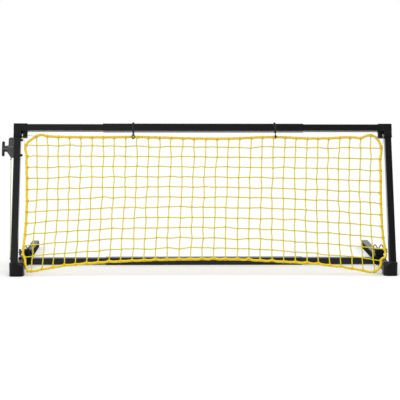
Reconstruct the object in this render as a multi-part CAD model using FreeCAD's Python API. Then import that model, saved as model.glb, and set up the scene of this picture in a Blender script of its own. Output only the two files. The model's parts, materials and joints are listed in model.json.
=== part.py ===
import FreeCAD, Part
import math
import os

V = FreeCAD.Vector
os.makedirs("parts", exist_ok=True)

# A low, wide practice goal: a flat net in a frame that leans back, hinged to two
# feet that lie on the floor. Millimetres, +X to the right, +Y to the back, +Z up.
# The origin is under the middle of the bottom bar, on the floor.

# Square steel tubes: the wide ones are sleeves and feet, the thin ones slide in
wide_side = 25.4
wide_wall = 1.4
thin_side = 22.2
thin_wall = 1.2
tube_round = 2.0

# Overall layout
post_spacing = 1237.0
post_outboard = 8.5
frame_height = 459.0
lean_deg = 20.0
fold_deg = 54.0
pin_before_bar = 172.0
foot_behind_bar = 320.0
sleeve_length = 670.0
sleeve_overlap = 60.0
bottom_sleeve_shift = 5.0

# Clearances
seat_gap = 0.2
running_gap = 0.05
swing_gap = 0.6

# Pivot blocks at the front corners
block_width = 45.5
block_height = 47.0
block_ahead = 23.0
block_behind = 12.0
block_back_height = 41.5
block_nose_round = 13.0
block_top_round = 4.0
lip_proud = 0.8
lip_height = 5.0
facet_across = 25.0
facet_down = 19.0
facet_back = 22.0
pin_height = 37.0
pin_radius = 3.0
pin_recess = 0.5
pin_chamfer = 0.5
post_below_pin = 7.0
collar_wall = 3.0
collar_end = 42.0
collar_round = 2.0
socket_start = 16.5

# Corner elbows at the top
elbow_side = 26.2
elbow_reach = 32.0
elbow_drop = 32.5
elbow_round = 2.5
elbow_lip = 2.5
elbow_lip_proud = 0.6
gusset_drop = 34.5
gusset_thick = 12.0
gusset_round = 2.5
eyelet_from_post = 4.2
eyelet_width = 4.0
eyelet_top = 20.0
eyelet_bottom = 29.0
post_top_gap = 1.5
tube_end_gap = 2.0

# Small screws, their heads on the rear faces
screw_radius = 1.9
screw_head_radius = 3.5
screw_head_height = 2.2
screw_head_round = 1.2
screw_length = 9.0
arm_screw_from_end = 8.0
leg_screw_above_end = 6.0

# Snap buttons that lock the thin tubes in the sleeves
button_radius = 3.1
button_out = 2.5
button_round = 1.0
button_from_end = 20.0
flange_radius = 5.0
flange_thick = 1.2
spring_length = 34.0
spring_width = 8.0
spring_height = 11.0
spring_thick = 0.8

# Junction brackets, where the bottom bar meets the feet
saddle_wall = 3.3
saddle_length = 40.0
saddle_above_floor = 1.0
saddle_round = 2.0
boss_length = 11.0
boss_round = 1.5
spigot_round = 1.0
spigot_length = 30.0
lug_width = 25.0
lug_inboard = 6.7
lug_shift = 3.3
lug_depth = 20.0
lug_top = 54.0
lug_round = 6.0
lug_slot = 2.0
lug_slot_floor = 2.0
bolt_height = 43.0
bolt_radius = 3.0
bolt_head_radius = 6.0
bolt_head_height = 3.0
bolt_head_round = 2.0
bolt_past_nut = 3.0
wing_hub_radius = 5.5
wing_hub_length = 12.0
wing_span = 23.0
wing_depth = 8.0
wing_thick = 3.0

# Wire hooks on the brackets
wire_radius = 1.0
hook_top = 71.0
hook_half_width = 18.5
hook_tip = 10.5
hook_inboard = 5.0
hook_foot = 50.5
hook_foot_depth = 4.5
hook_foot_out = 3.5
hook_dip_half = 2.5

# Caps in the feet's back ends
cap_flange = 3.0
cap_plug = 15.0
cap_plug_round = 0.5

# Cord bracket and knob on the left post
bracket_top_drop = 34.5
bracket_height = 67.0
bracket_top_width = 18.0
bracket_width = 22.5
bracket_foot_width = 11.0
bracket_shoulder = 26.5
bracket_taper = 49.5
bracket_depth = 17.0
bracket_top_round = 8.0
bracket_round = 2.5
bracket_rim = 1.8
knob_drop = 72.0
hub_radius = 11.5
hub_out = 23.5
hub_round = 1.5
stud_radius = 4.0
stud_start = 6.0
knob_neck_radius = 11.0
knob_neck_tip = 8.5
knob_span = 52.0
knob_bar_radius = 5.0
knob_out = 30.6
clamp_bolt_radius = 2.5
clamp_head_radius = 4.2
clamp_head_height = 4.0
clamp_seat = 7.0
clamp_nut_radius = 4.4
clamp_nut_height = 6.5
clamp_dome = 2.0
clamp_drops = (42.0, 94.0)
ferrule_radius = 1.7
ferrule_length = 8.5
ferrule_out = 9.3

# Cord from the bracket's ferrule to its anchor just above the left pivot block
cord_radius = 1.0
cord_bow = 0.6
cord_end_gap = 0.2
cord_foot_out = 2.3
anchor_height = 15.0
anchor_size = 4.0
anchor_out = 4.0
anchor_round = 1.0

# Net, its border rope and what ties it
rope_radius = 3.5
rope_splice = 0.6
twine = 3.0
net_columns = 25
net_rows = 11
least_gap_area = 60.0
strap_width = 8.0
strap_thick = 1.2
strap_gap = 0.3
strap_round = 2.5
ring_wall = 2.2
ring_gap = 0.3
neck_half = 2.0
knot_height = 2.0
knot_half_width = 3.0
knot_half_depth = 5.0
knot_round = 0.8
lace_radius = 1.1
lace_gap = 0.3
low_lace_hang = {"left": 28.5, "right": 34.0}

# Border rope's line in the leaning plane: across from the middle, and down from
# the top bar's centre line, clockwise from the middle of the bottom edge. It is
# stretched until its sides are rope_side_gap inside the posts' centre lines and
# its low corners hang rope_hang below the pins.
rope_side_gap = 21.5
rope_hang = 29.0
tie_left = -234.0
tie_right = 239.0
tie_down = 31.0
tie_run = 30.0
rope_line = [
    (-26, 444), (-157, 446), (-287, 451), (-417, 460), (-482, 468), (-514, 474), (-547, 481),
    (-563, 484), (-571, 484), (-576, 480), (-579, 471), (-583, 457), (-583, 443), (-591, 430),
    (-591, 410), (-586, 373), (-582, 293),
    (-583, 232), (-585, 171), (-588, 116), (-586, 95), (-594, 70), (-589, 53), (-575, 41),
    (-554, 25), (-535, 24), (-512, 30), (-458, 31), (-378, 32), (-298, 32),
    (tie_left - tie_run, tie_down), (tie_left + tie_run, tie_down),
    (-138, 33), (22, 37), (103, 36), (160, 33),
    (tie_right - tie_run, tie_down), (tie_right + tie_run, tie_down),
    (320, 35), (425, 35), (476, 31), (506, 31), (528, 35), (548, 26), (564, 23), (580, 31),
    (590, 46), (597, 66), (595, 87), (590, 113), (591, 144), (588, 240), (588, 310), (590, 368),
    (594, 401), (596, 430), (583, 443), (583, 457), (577, 469), (568, 481), (560, 487), (548, 488),
    (530, 485), (497, 477),
    (432, 468), (367, 460), (301, 455), (203, 450), (137, 446), (72, 444),
]

# Worked out from the above
rope_widest = max(across for across, down in rope_line)
rope_lowest = max(down for across, down in rope_line)
post_x = post_spacing / 2
foot_x = post_x - post_outboard
bar_z = wide_side / 2
pin_y = -pin_before_bar
thin_half = thin_side / 2
wide_half = wide_side / 2
elbow_half = elbow_side / 2
lean_axis = V(1, 0, 0)
pin_point = V(0, pin_y, pin_height)
sides = (("left", -1), ("right", 1))


def block(x0, x1, y0, y1, z0, z1):
    low = V(min(x0, x1), min(y0, y1), min(z0, z1))
    return Part.makeBox(abs(x1 - x0), abs(y1 - y0), abs(z1 - z0), low)


def rod(start, end, radius):
    return Part.makeCylinder(radius, (end - start).Length, start, end - start)


def edges_along(shape, axis):
    """Straight edges that run along one axis."""
    chosen = []
    for edge in shape.Edges:
        ends = [v.Point for v in edge.Vertexes]
        if len(ends) == 2 and abs((ends[1] - ends[0]).normalize().dot(axis)) > 0.999:
            chosen.append(edge)
    return chosen


def square_bar(length_axis, start, end, side, centre, corner):
    """Square bar with rounded long edges. centre holds the two other coordinates."""
    a, b = centre
    h = side / 2
    if length_axis == "x":
        bar = block(start, end, a - h, a + h, b - h, b + h)
        axis = V(1, 0, 0)
    elif length_axis == "y":
        bar = block(a - h, a + h, start, end, b - h, b + h)
        axis = V(0, 1, 0)
    else:
        bar = block(a - h, a + h, b - h, b + h, start, end)
        axis = V(0, 0, 1)
    return bar.makeFillet(corner, edges_along(bar, axis))


def square_tube(length_axis, start, end, side, wall, centre):
    outer = square_bar(length_axis, start, end, side, centre, tube_round)
    inner = square_bar(length_axis, start - 1, end + 1, side - 2 * wall, centre, tube_round - wall)
    return outer.cut(inner)


def top_z(down):
    """Height in the upright frame of a point that far below the top bar's centre line."""
    return pin_height + frame_height - down


def lean(shape):
    """Turns a piece drawn in the upright frame back about the pivot pins."""
    turned = shape.copy()
    turned.rotate(pin_point, lean_axis, -lean_deg)
    return turned


def save(name, shape):
    if not shape.isValid() or not shape.Solids:
        raise ValueError("bad solid: " + name)
    shape.exportStep("parts/%s.step" % name)
    print("%-26s %2d solid  %9.1f mm3" % (name, len(shape.Solids), shape.Volume))


def rounded_path(points, share=0.45):
    """Straight runs joined by tangent arcs, and the smallest arc's radius."""
    edges = []
    radii = []
    begin = points[0]
    for i in range(1, len(points) - 1):
        before = points[i] - points[i - 1]
        after = points[i + 1] - points[i]
        turn = before.getAngle(after)
        reach = share * min(before.Length, after.Length)
        radius = reach / math.tan(turn / 2)
        radii.append(radius)
        back = V(before).normalize()
        on = V(after).normalize()
        first = points[i] - back * reach
        last = points[i] + on * reach
        inward = (on - back).normalize()
        middle = points[i] + inward * (radius / math.cos(turn / 2) - radius)
        edges.append(Part.LineSegment(begin, first).toShape())
        edges.append(Part.Arc(first, middle, last).toShape())
        begin = last
    edges.append(Part.LineSegment(begin, points[-1]).toShape())
    return Part.Wire(edges), min(radii)


def tube_along(points, radius, name):
    path, tightest = rounded_path(points)
    start = path.Edges[0]
    direction = start.tangentAt(start.FirstParameter)
    ring = Part.Wire([Part.makeCircle(radius, points[0], direction)])
    solid = path.makePipeShell([ring], True, False)
    expected = math.pi * radius * radius * path.Length
    print("%s: length %.1f, tightest arc %.1f, volume over section times length %.4f"
          % (name, path.Length, tightest, solid.Volume / expected))
    return solid


def button_hole(x, y_out, z, depth):
    """Hole for a snap button through a rear wall."""
    return rod(V(x, y_out + 1, z), V(x, y_out - depth, z), button_radius + running_gap)


def snap_button(x, y_face, z):
    """Pin that stands out of a sleeve's rear face, with a flange inside the thin tube."""
    inner_face = y_face - wide_wall - (wide_half - wide_wall - thin_half) - thin_wall
    top = y_face + button_out
    flange_top = inner_face - seat_gap
    pin = rod(V(x, flange_top - flange_thick, z), V(x, top, z), button_radius)
    rim = [e for e in pin.Edges if abs(e.BoundBox.YMin - top) < 0.01 and e.BoundBox.YLength < 0.01]
    pin = pin.makeFillet(button_round, rim)
    flange = rod(V(x, flange_top - flange_thick, z), V(x, flange_top, z), flange_radius)
    return pin.fuse(flange).removeSplitter()


def button_spring(x, y_face, z, inward):
    """Leaf bent to a U behind the button's flange, its bend towards the bar's middle."""
    near = y_face - wide_half + thin_half - thin_wall - seat_gap - flange_thick
    far = near - spring_height
    bend = spring_height / 2
    start = x - inward * flange_radius
    end = x + inward * (spring_length - flange_radius - bend)
    low_z, high_z = z - spring_width / 2, z + spring_width / 2
    legs = [block(start, end, near - spring_thick, near, low_z, high_z),
            block(start, end, far, far + spring_thick, low_z, high_z)]
    centre = V(end, near - bend, low_z)
    top_of_bend = V(end, near - bend, high_z)
    ring = rod(centre, top_of_bend, bend).cut(rod(centre, top_of_bend, bend - spring_thick))
    half = block(end, end + inward * bend, far - 1, near + 1, low_z - 1, high_z + 1)
    return legs[0].fuse([legs[1], ring.common(half)]).removeSplitter()


def bar_parts(z, y, shift, tube_end, prefix):
    """A sleeve, two thin tubes in it and the snap buttons that lock them."""
    half = sleeve_length / 2
    sleeve = square_tube("x", shift - half, shift + half, wide_side, wide_wall, (y, z))
    face = y + wide_half
    pieces = {}
    for side, s in sides:
        button_x = shift + s * (half - button_from_end)
        hole = button_hole(button_x, face, z, wide_side / 2)
        start = shift + s * (half - sleeve_overlap)
        tube = square_tube("x", min(start, s * tube_end), max(start, s * tube_end),
                           thin_side, thin_wall, (y, z))
        sleeve = sleeve.cut(hole)
        pieces["%s_tube_%s" % (prefix, side)] = tube.cut(hole)
        pieces["%s_button_%s" % (prefix, side)] = snap_button(button_x, face, z)
        pieces["%s_spring_%s" % (prefix, side)] = button_spring(button_x, face, z, -s)
    pieces[prefix + "_sleeve"] = sleeve
    return pieces


def rear_screw(x, y_face, z):
    """Pan-head screw from a rear face inwards, with its hole."""
    shank = rod(V(x, y_face - screw_length, z), V(x, y_face, z), screw_radius)
    head = rod(V(x, y_face, z), V(x, y_face + screw_head_height, z), screw_head_radius)
    rim = [e for e in head.Edges if e.BoundBox.YMin > y_face + 1 and e.BoundBox.YLength < 0.01]
    head = head.makeFillet(screw_head_round, rim)
    hole = rod(V(x, y_face - screw_length - 1, z), V(x, y_face + 1, z), screw_radius + running_gap)
    return shank.fuse(head).removeSplitter(), hole


# Bottom bar, level on the floor between the brackets' spigot bosses
boss_face = foot_x - wide_half - seat_gap - saddle_wall - boss_length
bottom = bar_parts(bar_z, 0, bottom_sleeve_shift, boss_face - seat_gap, "bottom")
for name, shape in bottom.items():
    save(name, shape)


def foot_tube(s):
    return square_tube("y", pin_y + socket_start, foot_behind_bar - cap_flange,
                       wide_side, wide_wall, (s * foot_x, bar_z))


def foot_cap(s):
    end = foot_behind_bar - cap_flange
    flange = square_bar("y", end + seat_gap, foot_behind_bar, wide_side, (s * foot_x, bar_z), tube_round)
    plug_side = wide_side - 2 * wide_wall - 2 * seat_gap
    plug = square_bar("y", end - cap_plug, end + seat_gap + 1, plug_side, (s * foot_x, bar_z),
                      cap_plug_round)
    return flange.fuse(plug).removeSplitter()


def post_slot(s):
    """Room for the post's foot from its rest to its folded angle."""
    half = thin_half + swing_gap
    across = thin_half + 2 * seat_gap
    reach = math.hypot(thin_half, post_below_pin) + swing_gap
    rest = math.radians(lean_deg)
    folded = math.radians(lean_deg + fold_deg)
    up = V(0, math.sin(rest), math.cos(rest))
    back = V(0, math.sin(folded), math.cos(folded))
    front_side = V(0, -math.cos(rest), math.sin(rest)) * half
    low_side = V(0, math.cos(folded), -math.sin(folded)) * half
    far = 3 * block_height
    origin = V(s * post_x - across, pin_y, pin_height)
    corners = [front_side, front_side + up * far, up * far + back * far, low_side + back * far, low_side]
    outline = Part.makePolygon([origin + c for c in corners] + [origin + corners[0]])
    wedge = Part.Face(outline).extrude(V(2 * across, 0, 0))
    barrel = rod(origin, origin + V(2 * across, 0, 0), reach)
    return wedge.fuse(barrel)


def nose(s, proud, low, heights):
    """Block with round front corners, its top falling to the back."""
    front = pin_y - block_ahead - proud
    back = pin_y + block_behind
    half = block_width / 2 + proud
    high, back_high = heights
    outline = [V(s * foot_x - half, y, z)
               for y, z in ((front, low), (front, high), (back, back_high), (back, low), (front, low))]
    solid = Part.Face(Part.makePolygon(outline)).extrude(V(2 * half, 0, 0))
    corners = [e for e in edges_along(solid, V(0, 0, 1)) if e.BoundBox.YMax < front + 0.01]
    return solid.makeFillet(block_nose_round + proud, corners)


def pivot_block(s):
    foot_half = wide_half + seat_gap
    front = pin_y - block_ahead
    body = nose(s, 0, 0, (block_height, block_back_height))
    rim = [e for e in body.Edges if e.BoundBox.ZMin > block_back_height - 0.01
           and e.BoundBox.YMin < pin_y + block_behind - 0.01]
    body = body.makeFillet(block_top_round, rim)
    inner = s * (foot_x - block_width / 2)
    tip = V(inner, front, block_height)
    legs = [tip, tip + V(s * facet_across, 0, 0), tip + V(0, facet_back, 0), tip - V(0, 0, facet_down)]
    faces = [Part.Face(Part.makePolygon([legs[i], legs[j], legs[k], legs[i]]))
             for i, j, k in ((0, 1, 2), (0, 2, 3), (0, 3, 1), (1, 3, 2))]
    corner = Part.makeSolid(Part.makeShell(faces))
    body = body.cut(corner).fuse(nose(s, lip_proud, 0, (lip_height, lip_height)))
    collar_half = foot_half + collar_wall
    collar = block(s * foot_x - collar_half, s * foot_x + collar_half, pin_y + block_behind - 1,
                   pin_y + collar_end, 0, wide_side + seat_gap + collar_wall)
    collar = collar.makeFillet(collar_round, [e for e in edges_along(collar, V(0, 1, 0))
                                              if e.BoundBox.ZMin > 1])
    socket = block(s * foot_x - foot_half, s * foot_x + foot_half, pin_y + socket_start - seat_gap,
                   pin_y + collar_end + 1, -1, wide_side + seat_gap)
    pin_hole = rod(V(s * (post_x - block_width), pin_y, pin_height),
                   V(s * (post_x + block_width), pin_y, pin_height), pin_radius + running_gap)
    solid = body.fuse(collar).cut(socket).cut(post_slot(s)).cut(pin_hole)
    return solid.removeSplitter()


def pivot_pin(s):
    outer = foot_x + block_width / 2 - pin_recess
    inner = foot_x - block_width / 2 + pin_recess
    pin = rod(V(s * inner, pin_y, pin_height), V(s * outer, pin_y, pin_height), pin_radius)
    return pin.makeChamfer(pin_chamfer, [e for e in pin.Edges if e.BoundBox.XLength < 0.01])


def block_screw(s):
    """Screw that holds a foot tube in its block's collar, from the inner side."""
    y = pin_y + (socket_start + collar_end) / 2
    face = foot_x - wide_half - seat_gap - collar_wall
    shank = rod(V(s * face, y, bar_z), V(s * (face + screw_length), y, bar_z), screw_radius)
    head = rod(V(s * (face - screw_head_height), y, bar_z), V(s * face, y, bar_z), screw_head_radius)
    hole = rod(V(s * (face - 1), y, bar_z), V(s * (face + screw_length + 1), y, bar_z),
               screw_radius + running_gap)
    return shank.fuse(head).removeSplitter(), hole


def lug_distance(s):
    """From the middle to the lug: both lugs sit a little to the right of their mirrored places."""
    return foot_x - lug_inboard + s * lug_shift


def junction_bracket(s):
    """Saddle over the foot, spigot for the bottom bar and a split lug on top."""
    foot_half = wide_half + seat_gap
    outer = foot_half + saddle_wall
    roof = wide_side + seat_gap + saddle_wall
    saddle = block(s * foot_x - outer, s * foot_x + outer, -saddle_length / 2, saddle_length / 2,
                   saddle_above_floor, roof)
    upper = [e for e in edges_along(saddle, V(0, 1, 0)) if e.BoundBox.ZMin > bar_z]
    saddle = saddle.makeFillet(saddle_round, upper)
    inner_face = foot_x - outer
    boss_ends = (s * inner_face, s * (inner_face - boss_length))
    boss = square_bar("x", min(boss_ends), max(boss_ends), thin_side, (0, bar_z), boss_round)
    spigot_side = thin_side - 2 * thin_wall - 2 * seat_gap
    spigot_ends = (s * (inner_face - boss_length + 1), s * (inner_face - boss_length - spigot_length))
    spigot = square_bar("x", min(spigot_ends), max(spigot_ends), spigot_side, (0, bar_z), spigot_round)
    lug_x = s * lug_distance(s)
    lug = block(lug_x - lug_width / 2, lug_x + lug_width / 2, -lug_depth / 2, lug_depth / 2,
                roof - saddle_wall + 0.5, lug_top)
    lug = lug.makeFillet(lug_round, [e for e in edges_along(lug, V(0, 1, 0)) if e.BoundBox.ZMin > roof + 1])
    web = block(s * inner_face, s * (inner_face - boss_length + 2), -lug_depth / 2 + 2,
                lug_depth / 2 - 2, bar_z, roof)
    slot = block(lug_x - lug_slot / 2, lug_x + lug_slot / 2, -lug_depth, lug_depth,
                 roof + lug_slot_floor, lug_top + 1)
    hole = rod(V(lug_x - lug_width, 0, bolt_height), V(lug_x + lug_width, 0, bolt_height),
               bolt_radius + running_gap)
    tunnel = block(s * foot_x - foot_half, s * foot_x + foot_half, -saddle_length, saddle_length,
                   -1, wide_side + seat_gap)
    foot_holes = []
    for end in (-1, 1):
        mouth = lug_x + end * (lug_width / 2 + 1)
        bottom = lug_x + end * (lug_width / 2 - hook_foot_depth - seat_gap)
        foot_holes.append(rod(V(mouth, 0, hook_foot), V(bottom, 0, hook_foot), wire_radius + running_gap))
    body = saddle.fuse([boss, spigot, lug, web])
    return body.cut(tunnel).cut(slot).cut(hole).cut(Part.makeCompound(foot_holes)).removeSplitter()


def wing_bolt(s):
    """Carriage bolt through the lug, its head inboard."""
    lug_x = lug_distance(s)
    head_face = lug_x - lug_width / 2 - seat_gap
    tip = lug_x + lug_width / 2 + wing_hub_length + bolt_past_nut
    shank = rod(V(s * head_face, 0, bolt_height), V(s * tip, 0, bolt_height), bolt_radius)
    head = rod(V(s * (head_face - bolt_head_height), 0, bolt_height), V(s * head_face, 0, bolt_height),
               bolt_head_radius)
    rim = [e for e in head.Edges if e.BoundBox.XLength < 0.01
           and abs(e.BoundBox.XMin - s * (head_face - bolt_head_height)) < 0.01]
    return shank.fuse(head.makeFillet(bolt_head_round, rim)).removeSplitter()


def wing_nut(s):
    lug_face = lug_distance(s) + lug_width / 2 + seat_gap
    end = lug_face + wing_hub_length
    hub = Part.makeCone(wing_hub_radius + 1, wing_hub_radius - 1, wing_hub_length,
                        V(s * lug_face, 0, bolt_height), V(s, 0, 0))
    root = lug_face + wing_hub_length - wing_depth + 2
    wings = []
    for up in (-1, 1):
        tip_z = bolt_height + up * wing_span / 2
        base_z = bolt_height + up * (wing_hub_radius - 2.5)
        outline = Part.makePolygon([
            V(s * root, -wing_thick / 2, base_z),
            V(s * (root + 1.5), -wing_thick / 2, tip_z - up * 1.0),
            V(s * (root + 4), -wing_thick / 2, tip_z),
            V(s * (root + wing_depth), -wing_thick / 2, tip_z - up * 1.5),
            V(s * (root + wing_depth), -wing_thick / 2, tip_z - up * 4),
            V(s * end, -wing_thick / 2, base_z),
            V(s * root, -wing_thick / 2, base_z)])
        wings.append(Part.Face(outline).extrude(V(0, wing_thick, 0)))
    bore = rod(V(s * (lug_face - 1), 0, bolt_height), V(s * (end + wing_depth), 0, bolt_height),
               bolt_radius + running_gap)
    return hub.fuse(wings).cut(bore).removeSplitter()


def wire_hook(s):
    """Wire bent to two arches that stand on the lug, its ends in the lug's sides."""
    middle = lug_distance(s)
    side = lug_width / 2
    shoulder = lug_top + 4
    dip = lug_top + wire_radius + seat_gap
    points = [
        (-side + hook_foot_depth, hook_foot), (-side - hook_foot_out - hook_inboard, hook_foot),
        (-hook_half_width - hook_inboard, shoulder), (-hook_tip - hook_inboard, hook_top),
        (-hook_dip_half - hook_inboard, dip), (hook_dip_half - hook_inboard, dip),
        (hook_tip - hook_inboard, hook_top), (hook_half_width - hook_inboard, shoulder),
        (side + hook_foot_out, hook_foot), (side - hook_foot_depth, hook_foot),
    ]
    route = [V(s * (middle + x), 0, z) for x, z in points]
    return tube_along(route, wire_radius, "wire hook")


for side, s in sides:
    screw, screw_hole = block_screw(s)
    save("foot_tube_" + side, foot_tube(s).cut(screw_hole))
    save("foot_cap_" + side, foot_cap(s))
    save("pivot_block_" + side, pivot_block(s).cut(screw_hole))
    save("pivot_pin_" + side, pivot_pin(s))
    save("block_screw_" + side, screw)
    save("junction_bracket_" + side, junction_bracket(s))
    save("wing_bolt_" + side, wing_bolt(s))
    save("wing_nut_" + side, wing_nut(s))
    save("wire_hook_" + side, wire_hook(s))


# Upper frame, drawn upright over the pins and then leaned back
top = bar_parts(top_z(0), pin_y, 0, post_x - thin_half - tube_end_gap, "top")


def elbow(s):
    """Moulded corner over the ends of the post and the top tube, with a gusset and its eyelet."""
    z = top_z(0)
    arm_end = post_x - elbow_reach
    outer = post_x + elbow_half
    inner = post_x - elbow_half
    arm = block(s * arm_end, s * outer, pin_y - elbow_half, pin_y + elbow_half,
                z - elbow_half, z + elbow_half)
    corner = [e for e in edges_along(arm, V(0, 1, 0)) if abs(e.BoundBox.XMin - s * outer) < 0.01]
    arm = arm.makeFillet(elbow_round, corner + edges_along(arm, V(1, 0, 0)))
    leg = square_bar("z", z - elbow_drop, z, elbow_side, (s * post_x, pin_y), elbow_round)
    lip = square_bar("z", z - elbow_drop, z - elbow_drop + elbow_lip, elbow_side + 2 * elbow_lip_proud,
                     (s * post_x, pin_y), elbow_round)
    gusset = block(s * arm_end, s * post_x, pin_y - gusset_thick / 2, pin_y + gusset_thick / 2,
                   z - gusset_drop, z)
    low_corner = [e for e in edges_along(gusset, V(0, 1, 0)) if e.BoundBox.ZMax < z - gusset_drop + 1
                  and abs(e.BoundBox.XMin - s * arm_end) < 0.01]
    gusset = gusset.makeFillet(gusset_round, low_corner)
    eyelet_outer = post_x - thin_half - eyelet_from_post + eyelet_width / 2
    eyelet = block(s * eyelet_outer, s * (eyelet_outer - eyelet_width), pin_y - elbow_half,
                   pin_y + elbow_half, z - eyelet_bottom, z - eyelet_top)
    arm_room_ends = (s * (arm_end - 1), s * (post_x - thin_half - post_top_gap))
    arm_room = square_bar("x", min(arm_room_ends), max(arm_room_ends), thin_side + 2 * seat_gap,
                          (pin_y, z), 1.0)
    leg_room = square_bar("z", z - gusset_drop - 1, z - thin_half - post_top_gap + seat_gap,
                          thin_side + 2 * seat_gap, (s * post_x, pin_y), 1.0)
    solid = arm.fuse([leg, lip, gusset])
    return solid.cut(eyelet).cut(arm_room).cut(leg_room).removeSplitter()


clamp_holes = []
for drop in clamp_drops:
    clamp_holes.append(rod(V(-post_x - 30, pin_y, top_z(drop)), V(-post_x + 30, pin_y, top_z(drop)),
                           clamp_bolt_radius + running_gap))
clamp_holes = Part.makeCompound(clamp_holes)

for side, s in sides:
    post = square_tube("z", pin_height - post_below_pin, top_z(thin_half + post_top_gap),
                       thin_side, thin_wall, (s * post_x, pin_y))
    pin_hole = rod(V(s * post_x - 30, pin_y, pin_height), V(s * post_x + 30, pin_y, pin_height),
                   pin_radius + running_gap)
    rear = pin_y + elbow_half
    arm_screw, arm_hole = rear_screw(s * (post_x - elbow_reach + arm_screw_from_end), rear, top_z(0))
    leg_screw, leg_hole = rear_screw(s * post_x, rear, top_z(elbow_drop - leg_screw_above_end))
    post = post.cut(pin_hole).cut(leg_hole)
    if side == "left":
        post = post.cut(clamp_holes)
    tube = "top_tube_" + side
    top[tube] = top[tube].cut(arm_hole)
    save("post_" + side, lean(post))
    save("elbow_" + side, lean(elbow(s).cut(arm_hole).cut(leg_hole)))
    save("elbow_screws_" + side, lean(Part.makeCompound([arm_screw, leg_screw])))
for name, shape in top.items():
    save(name, lean(shape))


# Cord bracket on the left post's outer face: distances run out from that face
def out_x(distance):
    return -post_x - thin_half - distance


def cord_bracket():
    """Plate that steps out round the hub and tapers to its foot, with a ferrule for the cord."""
    top_edge = top_z(bracket_top_drop)
    low_edge = top_edge - bracket_height
    step = bracket_width - bracket_top_width
    outline = [(seat_gap, 0), (bracket_top_width, 0), (bracket_top_width, bracket_shoulder),
               (bracket_width, bracket_shoulder + step), (bracket_width, bracket_taper),
               (bracket_foot_width, bracket_height), (seat_gap, bracket_height), (seat_gap, 0)]
    face = Part.Face(Part.makePolygon([V(out_x(out), pin_y - bracket_depth / 2, top_edge - down)
                                       for out, down in outline]))
    plate = face.extrude(V(0, bracket_depth, 0))
    outer = [e for e in edges_along(plate, V(0, 1, 0)) if e.BoundBox.XMax < out_x(1)]
    top_corner = [e for e in outer if e.BoundBox.ZMax > top_edge - 1]
    plate = plate.makeFillet(bracket_top_round, top_corner)
    others = [e for e in edges_along(plate, V(0, 1, 0)) if e.BoundBox.XMax < out_x(bracket_foot_width - 1)
              and e.BoundBox.ZMax < top_edge - bracket_top_round - 1]
    plate = plate.makeFillet(bracket_round, others)
    rims = [e for e in plate.Edges if e.BoundBox.YLength < 0.01 and e.BoundBox.XMin < out_x(1)]
    plate = plate.makeFillet(bracket_rim, rims)
    knob_z = top_z(knob_drop)
    hub = rod(V(out_x(seat_gap), pin_y, knob_z), V(out_x(hub_out), pin_y, knob_z), hub_radius)
    rim = [e for e in hub.Edges if e.BoundBox.XLength < 0.01 and e.BoundBox.XMax < out_x(hub_out) + 0.01]
    hub = hub.makeFillet(hub_round, rim)
    bore = rod(V(out_x(stud_start - 1), pin_y, knob_z), V(out_x(hub_out + 1), pin_y, knob_z),
               stud_radius + running_gap)
    ferrule = rod(V(out_x(ferrule_out), pin_y, low_edge + ferrule_radius),
                  V(out_x(ferrule_out), pin_y, low_edge - ferrule_length), ferrule_radius)
    body = plate.fuse([hub, ferrule]).cut(bore)
    for drop in clamp_drops:
        z = top_z(drop)
        body = body.cut(rod(V(out_x(-1), pin_y, z), V(out_x(clamp_seat + 1), pin_y, z),
                            clamp_bolt_radius + running_gap))
        body = body.cut(rod(V(out_x(clamp_seat), pin_y, z), V(out_x(bracket_width + 1), pin_y, z),
                            clamp_head_radius + seat_gap))
    return body.removeSplitter()


def hexagon(x, z, radius, height):
    """Hexagon prism along +X."""
    corners = [V(x, pin_y + radius * math.cos(math.radians(60 * i)),
                 z + radius * math.sin(math.radians(60 * i))) for i in range(7)]
    return Part.Face(Part.makePolygon(corners)).extrude(V(height, 0, 0))


def clamp_bolts_and_nuts():
    bolts = []
    nuts = []
    inner_face = -post_x + thin_half
    dome_start = inner_face + clamp_nut_height - clamp_dome
    for drop in clamp_drops:
        z = top_z(drop)
        seat = out_x(clamp_seat)
        shank = rod(V(seat, pin_y, z), V(dome_start, pin_y, z), clamp_bolt_radius)
        head = rod(V(seat - clamp_head_height, pin_y, z), V(seat, pin_y, z), clamp_head_radius)
        bolts.append(shank.fuse(head).removeSplitter())
        nut = hexagon(inner_face + seat_gap, z, clamp_nut_radius, dome_start - inner_face - seat_gap)
        dome = Part.makeSphere(clamp_nut_radius * 0.86, V(dome_start, pin_y, z))
        reach = 3 * clamp_nut_radius
        keep = block(dome_start - 0.1, dome_start + clamp_dome, pin_y - reach, pin_y + reach,
                     z - reach, z + reach)
        bore = rod(V(inner_face - 1, pin_y, z), V(dome_start + running_gap, pin_y, z),
                   clamp_bolt_radius + running_gap)
        nuts.append(nut.fuse(dome.common(keep)).cut(bore).removeSplitter())
    return Part.makeCompound(bolts), Part.makeCompound(nuts)


def cord_knob():
    """T-handle with a thick neck, on a stud that screws into the bracket's hub."""
    z = top_z(knob_drop)
    stud = rod(V(out_x(stud_start), pin_y, z), V(out_x(knob_out), pin_y, z), stud_radius)
    bar_x = out_x(knob_out + knob_bar_radius)
    neck_start = out_x(hub_out + seat_gap)
    neck = Part.makeCone(knob_neck_radius, knob_neck_tip, neck_start - bar_x,
                         V(neck_start, pin_y, z), V(-1, 0, 0))
    half = knob_span / 2 - knob_bar_radius
    bar = rod(V(bar_x, pin_y, z - half), V(bar_x, pin_y, z + half), knob_bar_radius)
    ends = [Part.makeSphere(knob_bar_radius, V(bar_x, pin_y, z + e * half)) for e in (-1, 1)]
    return bar.fuse(ends + [neck, stud]).removeSplitter()


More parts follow.
